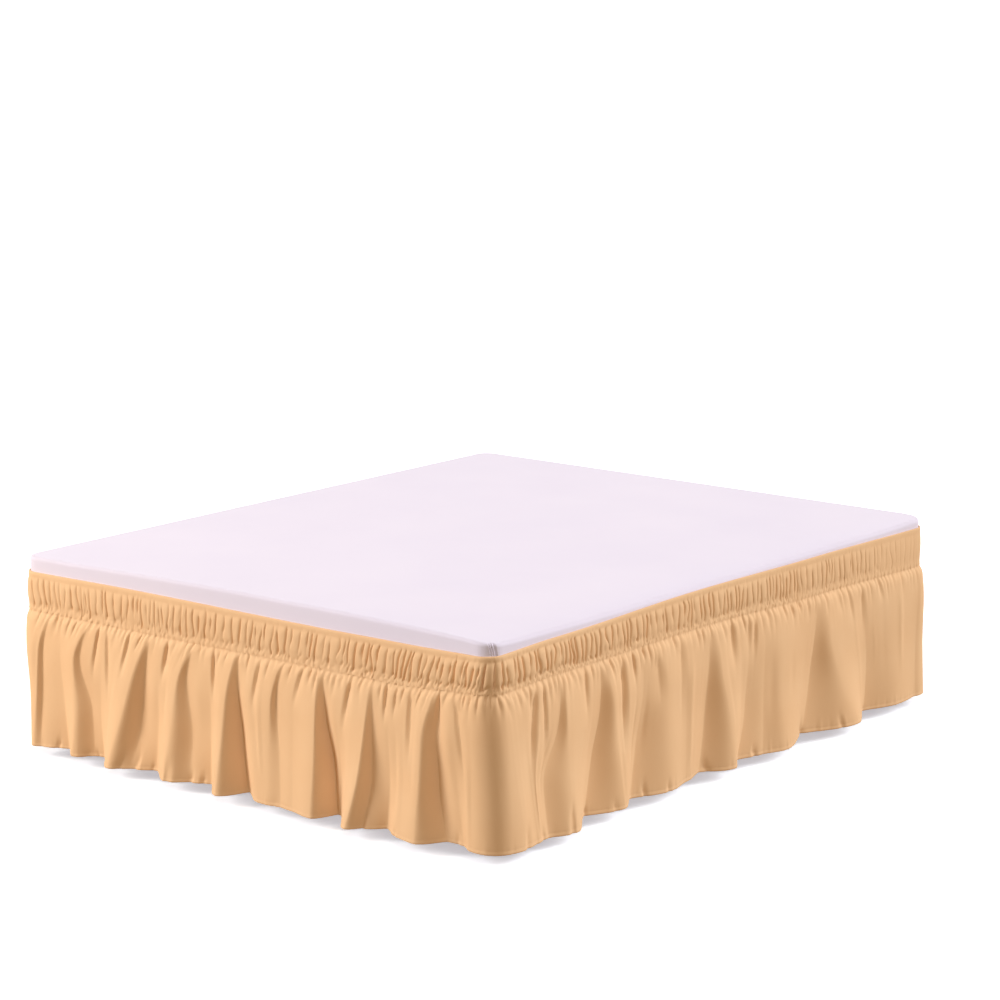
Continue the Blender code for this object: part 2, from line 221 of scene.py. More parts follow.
# A slight crown over the filling, and soft unevenness of a few tenths of a millimetre.
UNEVENNESS = 0.0004
share_x = (points[:, 0] - middle[0]) / half[0]
share_y = (points[:, 1] - middle[1]) / half[1]
crown = np.clip((1 - share_x ** 4) * (1 - share_y ** 4), 0, 1)
ripple = (np.sin(points[:, 0] * 17 + 2.0 * np.sin(points[:, 1] * 6))
          + np.sin(points[:, 1] * 14 + 1.7 * np.sin(points[:, 0] * 9)))
on_top = points[:, 2] > middle[2] + half[2] * 0.8
points[:, 2] += on_top * (MATTRESS_CROWN * crown + UNEVENNESS * ripple * crown)
# the cover's elastic pulls the corners down, and the foot's edge stands up between them
along_foot = np.interp(share_x, FOOT_RISE[:, 0], FOOT_RISE[:, 1])
from_foot = np.clip((points[:, 1] - mattress_low.y) / FOOT_RISE_RUN, 0, 1)
points[:, 2] += on_top * along_foot * (1 - from_foot) ** 2
along_right = np.interp(share_y, RIGHT_FALL[:, 0], RIGHT_FALL[:, 1])
from_right = np.clip((mattress_high.x - points[:, 0]) / RIGHT_FALL_RUN, 0, 1)
from_top = np.clip((mattress_high.z - points[:, 2]) / RIGHT_FALL_RUN, 0, 1)
points[:, 2] -= along_right * (1 - from_right) ** 2 * (1 - from_top)
set_points(mattress, points)
bpy.ops.object.shade_smooth()


def linear(hex_colour):
    """sRGB hex digits to the linear RGBA that a shader takes."""
    channels = [int(hex_colour[i:i + 2], 16) / 255 for i in (0, 2, 4)]
    return (*(c / 12.92 if c <= 0.04045 else ((c + 0.055) / 1.055) ** 2.4 for c in channels), 1.0)


def new_material(name, surface):
    """A material and its shader; surface holds what is the same all over it."""
    material = bpy.data.materials.new(name)
    material.use_nodes = True
    shader = material.node_tree.nodes["Principled BSDF"]
    for socket, value in surface.items():
        shader.inputs[socket].default_value = value
    return material, shader


def add_node(material, kind, settings=None, links=None):
    """Adds a node: settings go to its properties or sockets, links join sockets to outputs."""
    node = material.node_tree.nodes.new(kind)
    for name, value in (settings or {}).items():
        if isinstance(name, str) and hasattr(node, name):
            setattr(node, name, value)
        else:
            node.inputs[name].default_value = value
    for name, output in (links or {}).items():
        material.node_tree.links.new(output, node.inputs[name])
    return node


WAVE_REPEAT = 1 / 3.14    # metres from band to band in a wave texture of scale 1
THREAD_RELIEF = 0.0003


def plain_weave(material, shader, surface_place, thread, unevenness, strength):
    """Relief of threads that cross over and under, this far apart."""
    threads = [add_node(material, "ShaderNodeTexWave",
                        {"bands_direction": direction, "Scale": WAVE_REPEAT / thread,
                         "Distortion": unevenness},
                        {"Vector": surface_place})
               for direction in "XY"]
    weave = add_node(material, "ShaderNodeMath", {"operation": "MULTIPLY"},
                     {0: threads[0].outputs["Fac"], 1: threads[1].outputs["Fac"]})
    relief = add_node(material, "ShaderNodeBump",
                      {"Strength": strength, "Distance": THREAD_RELIEF},
                      {"Height": weave.outputs[0]})
    material.node_tree.links.new(relief.outputs["Normal"], shader.inputs["Normal"])


# Cotton percale, bleached and closely woven: matt, cool white, threads about 0.25 mm
# apart. They are drawn at 1.6 mm, because the real ones are far finer than a pixel.
COVER_THREAD = 0.0016
cotton_cover, cover_shader = new_material("cotton_percale_woven", {
    "Roughness": 0.88, "Sheen Weight": 0.15, "Sheen Roughness": 0.5})
cover_at = add_node(cotton_cover, "ShaderNodeTexCoord")
cover_tone = add_node(cotton_cover, "ShaderNodeTexNoise", {"Scale": 3.0, "Detail": 4.0},
                      {"Vector": cover_at.outputs["Object"]})
cover_colour = add_node(cotton_cover, "ShaderNodeMix",
                        {"data_type": "RGBA", 6: linear("DFD8EA"), 7: linear("E7E0EF")},
                        {0: cover_tone.outputs["Fac"]})
cotton_cover.node_tree.links.new(cover_colour.outputs[2], cover_shader.inputs["Base Color"])
plain_weave(cotton_cover, cover_shader, cover_at.outputs["Object"], COVER_THREAD, 0.3, 0.10)
mattress.data.materials.append(cotton_cover)

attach(mattress, "root")
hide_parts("mattress")
bpy.ops.object.select_all(action="DESELECT")


# ---------------------------------------------------------------------------------------
# Heading band: one strip of the skirt's brushed polyester, folded over flat elastic and
# stitched through in rows. The elastic draws it up into upright puckers and grips the bed.
HEM_HEIGHT = 0.030
BAND_GAP = 0.0005
SIDE_LENGTHS = np.array((BED_WIDTH, BED_LENGTH, BED_WIDTH, BED_LENGTH))
SIDE_STARTS = np.concatenate(((0.0,), np.cumsum(SIDE_LENGTHS)))
PERIMETER = float(SIDE_STARTS[-1])
CORNERS = np.array(((-1, -1), (1, -1), (1, 1), (-1, 1))) * half[:2] + middle[:2]

# The band's edges rise and dip as the elastic pulls: heights above the hem.
BAND_LINE = np.array((
    # place, top,   seam
    (0.00, 0.475, 0.371),   # foot, left corner
    (0.45, 0.479, 0.371),
    (1.05, 0.477, 0.374),
    (1.30, 0.479, 0.375),
    (1.60, 0.483, 0.389),   # foot, right corner
    (1.85, 0.488, 0.396),
    (2.45, 0.498, 0.400),   # right side, middle
    (3.00, 0.493, 0.388),
    (3.55, 0.487, 0.378),   # head, right corner
    (4.35, 0.480, 0.374),   # head, middle
    (5.15, 0.484, 0.378),   # head, left corner
    (6.10, 0.478, 0.372),   # left side, middle
    (7.10, 0.475, 0.371),   # and back to the start
))


def round_the_bed(place, out):
    """Where a place round the mattress and a distance out from its side lie, as x and y."""
    place = np.mod(place, PERIMETER)
    number = np.clip(np.searchsorted(SIDE_STARTS, place, side="right") - 1, 0, 3)
    along = (np.roll(CORNERS, -1, axis=0) - CORNERS) / SIDE_LENGTHS[:, None]
    along = along[number]
    outward = np.stack((along[..., 1], -along[..., 0]), axis=-1)
    length = SIDE_LENGTHS[number]
    run = place - SIDE_STARTS[number]
    start_turn = -(1 - np.minimum(run / MATTRESS_CORNER, 1)) * math.pi / 4
    end_turn = (1 - np.minimum((length - run) / MATTRESS_CORNER, 1)) * math.pi / 4
    turn = start_turn + end_turn
    run = np.clip(run, MATTRESS_CORNER, length - MATTRESS_CORNER)
    centre = CORNERS[number] + along * run[..., None] - outward * MATTRESS_CORNER
    cos, sin = np.cos(turn), np.sin(turn)
    spoke = np.stack((outward[..., 0] * cos - outward[..., 1] * sin,
                      outward[..., 0] * sin + outward[..., 1] * cos), axis=-1)
    return centre + spoke * (MATTRESS_CORNER + out)[..., None]


def band_heights(place):
    """Height of the band's top edge and of the seam above the floor at a place."""
    place = np.mod(place, PERIMETER)
    row = np.clip(np.searchsorted(BAND_LINE[:, 0], place, side="right") - 1, 0, len(BAND_LINE) - 2)
    start, end = BAND_LINE[row], BAND_LINE[row + 1]
    share = (1 - np.cos(math.pi * (place - start[..., 0]) / (end[..., 0] - start[..., 0]))) / 2
    heights = start[..., 1:] + (end[..., 1:] - start[..., 1:]) * share[..., None]
    return HEM_HEIGHT + heights[..., 0], HEM_HEIGHT + heights[..., 1]


def seam_pucker(place):
    """How far the stitching between band and ruffle wanders up and down along its gathers."""
    turn = place * 2 * math.pi / PERIMETER
    return (0.0009 * np.sin(410 * turn + 1.3 * np.sin(35 * turn))
            + 0.0008 * np.sin(286 * turn + 1.7 * np.sin(26 * turn)))


def seam_out(place):
    """How far out the seam stands: the gathers push it in and out."""
    turn = place * 2 * math.pi / PERIMETER
    return (0.0062 + 0.0011 * np.sin(368 * turn + 1.6 * np.sin(41 * turn))
            + 0.0006 * np.sin(610 * turn + 1.4 * np.sin(57 * turn)))


def uneven_places(rng, pitch, least, most):
    """Places once round the bed, about pitch apart, each gap drawn between least and most."""
    gaps = [rng.uniform(least, most) for _ in range(round(PERIMETER / pitch))]
    ends = np.cumsum(gaps)
    return np.concatenate(((0.0,), ends[:-1])) * PERIMETER / ends[-1]


def columns_between(places, steps):
    """Column places, more of them close to each of the places, where the cloth creases."""
    gaps = np.diff(np.append(places, PERIMETER))
    return (places[:, None] + gaps[:, None] * np.array(steps)[None, :]).ravel()


def wrapped_cloth(name, column_place, row_count, cloth_length, row_length, shape):
    """A flat grid sewn into a loop: shape gives a row of points for each row of the grid,
    and the grid's own UV map holds metres along and up the cloth."""
    columns = len(column_place)
    bpy.ops.mesh.primitive_grid_add(x_subdivisions=columns, y_subdivisions=row_count - 1, size=2.0)
    piece = bpy.context.object
    piece.name = piece.data.name = name
    flat_points = get_points(piece)
    column = np.rint((flat_points[:, 0] + 1) / 2 * columns).astype(int)
    row = np.rint((flat_points[:, 1] + 1) / 2 * (row_count - 1)).astype(int)
    set_points(piece, shape()[row, column % columns])
    uv_layer = piece.data.uv_layers[0]
    uv = np.empty(len(piece.data.loops) * 2)
    uv_layer.data.foreach_get("uv", uv)
    uv = uv.reshape(-1, 2)
    along = np.append(column_place, PERIMETER) / PERIMETER * cloth_length
    uv[:, 0] = along[np.rint(uv[:, 0] * columns).astype(int)]
    uv[:, 1] = np.asarray(row_length)[np.rint(uv[:, 1] * (row_count - 1)).astype(int)]
    uv_layer.data.foreach_set("uv", uv.ravel())
    bpy.ops.object.mode_set(mode="EDIT")
    bpy.ops.mesh.select_all(action="SELECT")
    bpy.ops.mesh.remove_doubles(threshold=0.00002)
    bpy.ops.object.mode_set(mode="OBJECT")
    bpy.ops.object.shade_smooth()
    return piece


def near_columns(column_place, place, reach_along):
    """Indexes of the columns near a place, and how far along each is from it."""
    distance = np.mod(column_place - place + PERIMETER / 2, PERIMETER) - PERIMETER / 2
    index = np.flatnonzero(np.abs(distance) < reach_along)
    return index, distance[index]


# Rows of the band from its lower edge up over its folded top: share of its height, and how
# far out the cloth stands there.
BAND_ROWS = np.array((
    # up,    out
    (0.000, 0.0062),    # sewn down over the ruffle
    (0.025, 0.0070),
    (0.060, 0.0072),
    (0.095, 0.0070),
    (0.130, 0.0070),
    (0.165, 0.0072),
    (0.200, 0.0073),    # stitched: top of the shirred strip
    (0.235, 0.0076),
    (0.275, 0.0081),
    (0.325, 0.0086),
    (0.385, 0.0090),
    (0.450, 0.0092),
    (0.515, 0.0091),
    (0.580, 0.0089),
    (0.645, 0.0086),
    (0.705, 0.0082),
    (0.760, 0.0075),
    (0.805, 0.0067),
    (0.840, 0.0060),    # stitched: foot of the smooth casing
    (0.865, 0.0060),
    (0.900, 0.0062),
    (0.940, 0.0060),
    (0.972, 0.0053),
    (0.992, 0.0042),
    (1.000, 0.0026),    # folded top edge
    (0.994, 0.0012),
    (0.960, 0.0006),
    (0.860, 0.0006),
))

# How strongly the elastic puckers the band round the bed, and how far its puckers lean
# over their height.
PUCKER_RUN = np.array((
    # place, strength, lean
    (0.00, 0.78, -0.006),
    (0.25, 0.78, -0.007),
    (0.45, 0.82, 0.001),
    (0.75, 0.85, 0.005),
    (1.10, 0.88, 0.012),
    (1.45, 1.10, 0.020),
    (1.58, 1.45, 0.014),
    (1.66, 1.45, -0.002),
    (1.85, 1.20, -0.008),
    (2.10, 0.90, -0.006),
    (2.60, 0.75, -0.004),
    (3.10, 0.55, -0.005),
    (3.35, 0.25, -0.004),
    (3.53, 0.15, 0.000),
    (3.80, 0.75, 0.002),
    (5.10, 0.90, 0.002),
    (7.10, 1.00, 0.003),
))

# The puckers and creases that a seeded rule places: how far apart they are, how deep, and
# between which shares of the band's height they run.
BAND_SEED = 11
PUCKER_PITCH = 0.0205
PUCKER_STEPS = (0.0, 0.06, 0.15, 0.28, 0.43, 0.58, 0.72, 0.85, 0.94)
PUCKER_DEPTH = (0.0026, 0.0060)
PUCKER_LOWS = (-0.06, 0.00, 0.06, 0.12, 0.20, 0.36)
PUCKER_HIGHS = (0.88, 0.87, 0.87, 0.86, 0.84, 0.70)
LOBE_HEIGHT = 0.0017
CROSSING_PITCH = 0.034
CROSSING_DEPTH = (0.0010, 0.0028)
SHIRRING_PITCH = 0.0066
SHIRRING_DEPTH = (0.0014, 0.0040)
SHIRRING_LOWS = (-0.06, -0.02, 0.02, 0.06, 0.10, 0.14)
CASING_PITCH = 0.021
CASING_DEPTH = (0.0, 0.0009)
BAND_STRETCHED_OUT = 0.0056    # where the face lies with no pucker in it

band_rng = random.Random(BAND_SEED)
pucker_places = uneven_places(band_rng, PUCKER_PITCH, 0.6, 1.45)
band_columns = columns_between(pucker_places, PUCKER_STEPS)
pucker_strength = np.interp(band_columns, PUCKER_RUN[:, 0], PUCKER_RUN[:, 1])
lean_here = np.interp(pucker_places, PUCKER_RUN[:, 0], PUCKER_RUN[:, 2])
pucker_lean = np.array([band_rng.gauss(lean, 0.0028) for lean in lean_here])
pucker_bow = np.array([band_rng.gauss(0.0, 0.0020) for _ in pucker_places])
band_lean = np.interp(band_columns, pucker_places, pucker_lean, period=PERIMETER)
band_bow = np.interp(band_columns, pucker_places, pucker_bow, period=PERIMETER)
band_up, band_out = BAND_ROWS[:, 0], BAND_ROWS[:, 1]
front = np.arange(len(band_up)) < int(np.argmax(band_up)) + 1


def fade(value, start, end):
    """0 before start, 1 past end, smooth between."""
    share = np.clip((value - start) / (end - start), 0, 1)
    return share * share * (3 - 2 * share)


def lens_groove(place, lean, low, high, deep, width):
    """A short groove, deepest in its middle: its depth over the band's rows and columns."""
    index, distance = near_columns(band_columns, place, reach_along=0.018)
    along = np.clip((band_up - low) / (high - low), 0, 1)
    body = np.sin(math.pi * along) ** 0.8
    across = distance[None, :] - lean * (along[:, None] - 0.5)
    return index, deep * body[:, None] * np.exp(-(across / width) ** 2)


def band_shape():
    """The band's points: its puckers, creases and stitched rows, as rows from seam to top."""
    relief = np.zeros((len(band_up), len(band_columns)))
    # the long puckers between the two rows of stitching: round lobes with a groove between
    gaps = np.diff(np.append(pucker_places, PERIMETER))
    cell = np.searchsorted(pucker_places, band_columns, side="right") - 1
    cell_share = (band_columns - pucker_places[cell]) / gaps[cell]
    lobe = np.minimum(gaps[cell] * 0.07, LOBE_HEIGHT) * np.sin(math.pi * cell_share) ** 0.7
    body = fade(band_up, 0.10, 0.32) * (1 - fade(band_up, 0.70, 0.87))
    relief += body[:, None] * lobe[None, :]
    for place in pucker_places:
        index, distance = near_columns(band_columns, place, reach_along=0.020)
        low = band_rng.choice(PUCKER_LOWS)
        high = band_rng.choice(PUCKER_HIGHS)
        deep = band_rng.uniform(*PUCKER_DEPTH)
        body = (fade(band_up, low, low + 0.24) * (1 - fade(band_up, high - 0.09, high))
                * (1 - band_rng.uniform(0.0, 0.45) * band_up))
        sharp = np.where(distance < 0, band_rng.uniform(0.0014, 0.0030),
                         band_rng.uniform(0.0012, 0.0020))
        groove = 1 / (1 + (distance / sharp) ** 2) ** 1.3
        relief[:, index] -= deep * body[:, None] * groove[None, :]
    # shorter ones that cross them, fine slanting ones in the shirred strip under them, and
    # shallow ones in the casing
    for place in uneven_places(band_rng, CROSSING_PITCH, 0.4, 1.7):
        low = band_rng.uniform(0.14, 0.50)
        index, groove = lens_groove(place, band_rng.gauss(0.002, 0.004), low,
                                    low + band_rng.uniform(0.18, 0.36),
                                    band_rng.uniform(*CROSSING_DEPTH), 0.0018)
        relief[:, index] -= groove
    for place in uneven_places(band_rng, SHIRRING_PITCH, 0.4, 1.7):
        low = band_rng.choice(SHIRRING_LOWS)
        slant = 0.006 if place < BED_WIDTH else -0.002
        index, groove = lens_groove(place, band_rng.gauss(slant, 0.0035), low,
                                    low + band_rng.uniform(0.12, 0.24),
                                    band_rng.uniform(*SHIRRING_DEPTH), 0.0021)
        relief[:, index] -= groove
    for place in uneven_places(band_rng, CASING_PITCH, 0.5, 1.6):
        index, groove = lens_groove(place, 0.0, 0.80, 0.98, band_rng.uniform(*CASING_DEPTH), 0.003)
        relief[:, index] -= groove
    relief *= pucker_strength[None, :] * front[:, None]
    puffed = (band_out - BAND_STRETCHED_OUT)[:, None] * (0.35 + 0.65 * pucker_strength)[None, :]
    puff = BAND_STRETCHED_OUT + puffed
    out = np.where(front[:, None], np.maximum(puff + relief, BAND_GAP), band_out[:, None])
    # at its lower edge the band lies on the ruffle and moves in and out with it
    at_seam = (front * (1 - fade(band_up, 0.0, 0.11)))[:, None]
    out = out * (1 - at_seam) + seam_out(band_columns)[None, :] * at_seam
    middle_up = np.clip((band_up - 0.08) / 0.78, 0, 1)
    lean = band_lean[None, :] * (middle_up[:, None] - 0.5) * front[:, None]
    bow = band_bow[None, :] * np.sin(2 * math.pi * middle_up)[:, None]
    place = band_columns[None, :] + lean + bow
    top, seam = band_heights(band_columns)
    seam = seam + seam_pucker(band_columns) * pucker_strength
    height = seam[None, :] + (top - seam)[None, :] * band_up[:, None]
    return np.concatenate((round_the_bed(place, out), height[..., None]), axis=-1)


BAND_CLOTH = 9.0       # length of the strip before the elastic draws it up
BAND_TALL = 0.128      # its cut height with the turned-in top
heading_band = wrapped_cloth("heading_band_puckered", band_columns, len(band_up), BAND_CLOTH,
                             np.linspace(0, BAND_TALL, len(band_up)), band_shape)

# Brushed polyester, piece-dyed apricot beige: a plain weave with a soft, slightly fuzzy
# face, matt with a faint sheen at the edges of folds. Its threads, about 0.2 mm, are
# drawn at 1.2 mm so that they still show.
CLOTH_THREAD = 0.0012
skirt_cloth, cloth_shader = new_material("brushed_polyester_plain_weave", {
    "Roughness": 0.82, "Specular IOR Level": 0.2, "Sheen Weight": 0.10,
    "Sheen Roughness": 0.45, "Sheen Tint": linear("FFE3C2")})
cloth_at = add_node(skirt_cloth, "ShaderNodeTexCoord")
cloth_tone = add_node(skirt_cloth, "ShaderNodeTexNoise",
                      {"Scale": 5.0, "Detail": 5.0, "Roughness": 0.6},
                      {"Vector": cloth_at.outputs["Object"]})
cloth_colour = add_node(skirt_cloth, "ShaderNodeMix",
                        {"data_type": "RGBA", 6: linear("E8BB8D"), 7: linear("EDC69B")},
                        {0: cloth_tone.outputs["Fac"]})
skirt_cloth.node_tree.links.new(cloth_colour.outputs[2], cloth_shader.inputs["Base Color"])
plain_weave(skirt_cloth, cloth_shader, cloth_at.outputs["UV"], CLOTH_THREAD, 0.4, 0.15)
heading_band.data.materials.append(skirt_cloth)

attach(heading_band, "root")
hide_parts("heading_band")
bpy.ops.object.select_all(action="DESELECT")


# ---------------------------------------------------------------------------------------
# Ruffle: one long strip of the same cloth, ends joined, gathered into the band's lower
# edge. The small gathers run out below the seam and gather into broad uneven folds. Its
# bottom edge is turned up 9 mm and stitched, and hangs just clear of the floor.
RUFFLE_SEAM_OUT = 0.0075
RUFFLE_LEAST_OUT = 0.0030
SEAM_GAP = 0.0003
UNDER_BAND = 0.0006         # the ruffle's top edge lies this far in behind the band's
RUFFLE_MIDDLE_OUT = 0.018   # where its hem hangs at HEM_HEIGHT; further out it hangs lower
HEM_FALL = 0.12             # by this share of the distance

# The ruffle's folds as lines that run from the seam to the hem: a crest, the foot of the
# steep slope beside it, and where the cloth lies flattest before the next crest rises.
# Each line's place from the side's left end at four levels, and its distance out at three.
FOLD_LEVELS = (0.0, 0.30, 0.65, 1.0)
FOOT_FOLDS = (
    # seam,  upper,  lower,  hem,    out:    upper,  lower,  hem
    (0.098, 0.065, 0.055, 0.043, 0.018, 0.020, 0.022),
    (0.111, 0.077, 0.068, 0.064, 0.007, 0.008, 0.014),
    (0.163, 0.146, 0.148, 0.151, 0.010, 0.003, -0.008),
    (0.249, 0.204, 0.210, 0.200, 0.020, 0.025, 0.028),
    (0.261, 0.219, 0.252, 0.253, 0.008, 0.000, -0.004),
    (0.309, 0.297, 0.284, 0.282, 0.011, 0.003, -0.009),
    (0.473, 0.429, 0.388, 0.349, 0.024, 0.036, 0.048),
    (0.485, 0.456, 0.431, 0.407, 0.002, -0.002, 0.016),
    (0.531, 0.511, 0.496, 0.480, 0.011, 0.002, -0.006),
    (0.628, 0.586, 0.570, 0.554, 0.022, 0.034, 0.042),
    (0.642, 0.606, 0.620, 0.614, 0.005, 0.004, 0.012),
    (0.696, 0.696, 0.686, 0.676, 0.012, 0.003, -0.006),
    (0.783, 0.763, 0.753, 0.745, 0.026, 0.040, 0.053),
    (0.797, 0.785, 0.788, 0.803, 0.000, -0.010, -0.012),
    (0.845, 0.845, 0.857, 0.873, 0.016, 0.022, 0.030),
    (0.933, 0.913, 0.907, 0.910, 0.022, 0.026, 0.031),
    (0.945, 0.923, 0.937, 0.945, 0.010, 0.018, 0.026),
    (0.994, 0.984, 0.984, 0.989, 0.016, 0.024, 0.032),
    (1.062, 1.066, 1.068, 1.062, 0.026, 0.040, 0.048),
    (1.078, 1.080, 1.097, 1.107, -0.001, -0.010, -0.009),
    (1.124, 1.124, 1.129, 1.117, 0.012, 0.004, -0.008),
    (1.233, 1.227, 1.217, 1.189, 0.024, 0.044, 0.061),
    (1.244, 1.241, 1.238, 1.221, 0.008, 0.010, 0.030),
    (1.303, 1.293, 1.291, 1.277, 0.012, 0.006, 0.000),
    (1.353, 1.343, 1.343, 1.338, 0.016, 0.022, 0.034),
    (1.435, 1.409, 1.405, 1.397, 0.026, 0.037, 0.046),
    (1.450, 1.436, 1.438, 1.462, 0.000, -0.006, -0.008),
    (1.492, 1.492, 1.502, 1.514, 0.010, 0.000, -0.006),
    (1.552, 1.552, 1.552, 1.550, 0.012, 0.012, 0.012),
)
RIGHT_FOLDS = (
    # seam,  upper,  lower,  hem,    out:    upper,  lower,  hem
    (0.041, 0.049, 0.066, 0.084, 0.020, 0.032, 0.042),
    (0.102, 0.112, 0.127, 0.142, 0.016, 0.022, 0.032),
    (0.255, 0.244, 0.185, 0.193, 0.012, 0.014, 0.025),
    (0.270, 0.262, 0.260, 0.269, 0.026, 0.038, 0.051),
    (0.415, 0.420, 0.400, 0.378, 0.004, -0.006, -0.009),
    (0.437, 0.459, 0.477, 0.504, 0.024, 0.026, 0.024),
    (0.587, 0.597, 0.587, 0.571, 0.006, -0.006, -0.010),
    (0.698, 0.690, 0.695, 0.706, 0.020, 0.024, 0.024),
    (0.778, 0.778, 0.783, 0.789, 0.014, 0.012, 0.008),
    (0.881, 0.885, 0.887, 0.874, 0.004, -0.006, -0.012),
    (0.912, 0.925, 0.962, 0.978, 0.020, 0.028, 0.032),
    (1.041, 1.061, 1.063, 1.037, 0.008, 0.000, -0.004),
    (1.122, 1.132, 1.132, 1.132, 0.012, 0.012, 0.014),
    (1.197, 1.203, 1.202, 1.215, 0.020, 0.028, 0.036),
    (1.389, 1.380, 1.376, 1.356, 0.004, -0.006, -0.012),
    (1.430, 1.436, 1.490, 1.551, 0.022, 0.030, 0.042),
    (1.606, 1.626, 1.657, 1.665, 0.008, 0.000, -0.010),
    (1.768, 1.778, 1.788, 1.808, 0.014, 0.018, 0.020),
    (1.899, 1.899, 1.899, 1.899, 0.010, 0.010, 0.012),
)
HIDDEN_FOLD_PITCH = 0.165
HIDDEN_FOLD_SPREAD = (0.55, 1.45)   # narrowest and broadest of them, as shares of the pitch


def hidden_folds(length, reach, seed):
    """Folds of a side that faces away: like those that show, some broad and some narrow."""
    rng = random.Random(seed)
    shares = [rng.uniform(*HIDDEN_FOLD_SPREAD) for _ in range(round(length / HIDDEN_FOLD_PITCH))]
    rows = []
    start = 0.0
    for share in shares:
        width = length * share / sum(shares)
        crest = start + rng.uniform(0.22, 0.38) * width
        spread = rng.uniform(0.25, 0.38) * width
        rest = start + rng.uniform(0.83, 0.93) * width
        lean = rng.uniform(-0.08, 0.14) * width
        tall = reach if share == max(shares) else reach * min(1.0, share) * rng.uniform(0.55, 0.95)
        deep = rng.uniform(-0.010, 0.004)
        rows.append((crest + lean, crest + 0.60 * lean, crest + 0.25 * lean, crest,
                     0.024, 0.80 * tall, tall))
        rows.append((crest + lean + 0.014, crest + 0.60 * lean + 0.45 * spread,
                     crest + 0.25 * lean + 0.80 * spread, crest + spread, 0.004, deep, deep))
        rows.append((rest, rest, rest, rest, 0.011, 0.003, deep))
        start += width
    return tuple(rows)


FOOT_REACH = max(row[-1] for row in FOOT_FOLDS)
RIGHT_REACH = max(row[-1] for row in RIGHT_FOLDS)
fold_lines = np.array([
    [start + place for place in row[:4]] + list(row[4:])
    for start, folds in zip(SIDE_STARTS, (
        FOOT_FOLDS, RIGHT_FOLDS,
        hidden_folds(BED_WIDTH, FOOT_REACH, 3), hidden_folds(BED_LENGTH, RIGHT_REACH, 5)))
    for row in folds])
one_round = np.array((PERIMETER,) * 4 + (0.0,) * 3)
fold_lines = np.vstack((fold_lines[-1] - one_round, fold_lines, fold_lines[0] + one_round))
fold_places = fold_lines[:, :4]
fold_outs = np.column_stack((np.full(len(fold_lines), RUFFLE_SEAM_OUT), fold_lines[:, 4:]))

# Rows of the ruffle from inside its turned hem up to the seam: share of the drop, and how
# far in behind the face the row lies.
RUFFLE_ROWS = np.array((
    # down,  behind
    (0.9740, 0.0013),
    (0.9850, 0.0016),
    (0.9990, 0.0010),
    (1.0000, 0.0004),   # the hem's fold
    (0.9992, 0.0000),
    (0.9930, -0.0003),
    (0.9820, -0.0003),
    (0.9770, 0.0004),   # stitched
    (0.9710, 0.0001),
) + tuple((row, 0.0) for row in (
    0.9550, 0.9250, 0.8850, 0.8400, 0.7900, 0.7350, 0.6800, 0.6250, 0.5700,
    0.5150, 0.4600, 0.4100, 0.3600, 0.3150, 0.2700, 0.2300, 0.1900, 0.1550,
    0.1220, 0.0920, 0.0650, 0.0420, 0.0250, 0.0120,
    0.0020,     # sewn under the band's edge
    -0.0100,
)))
down, behind = RUFFLE_ROWS[:, 0], RUFFLE_ROWS[:, 1]

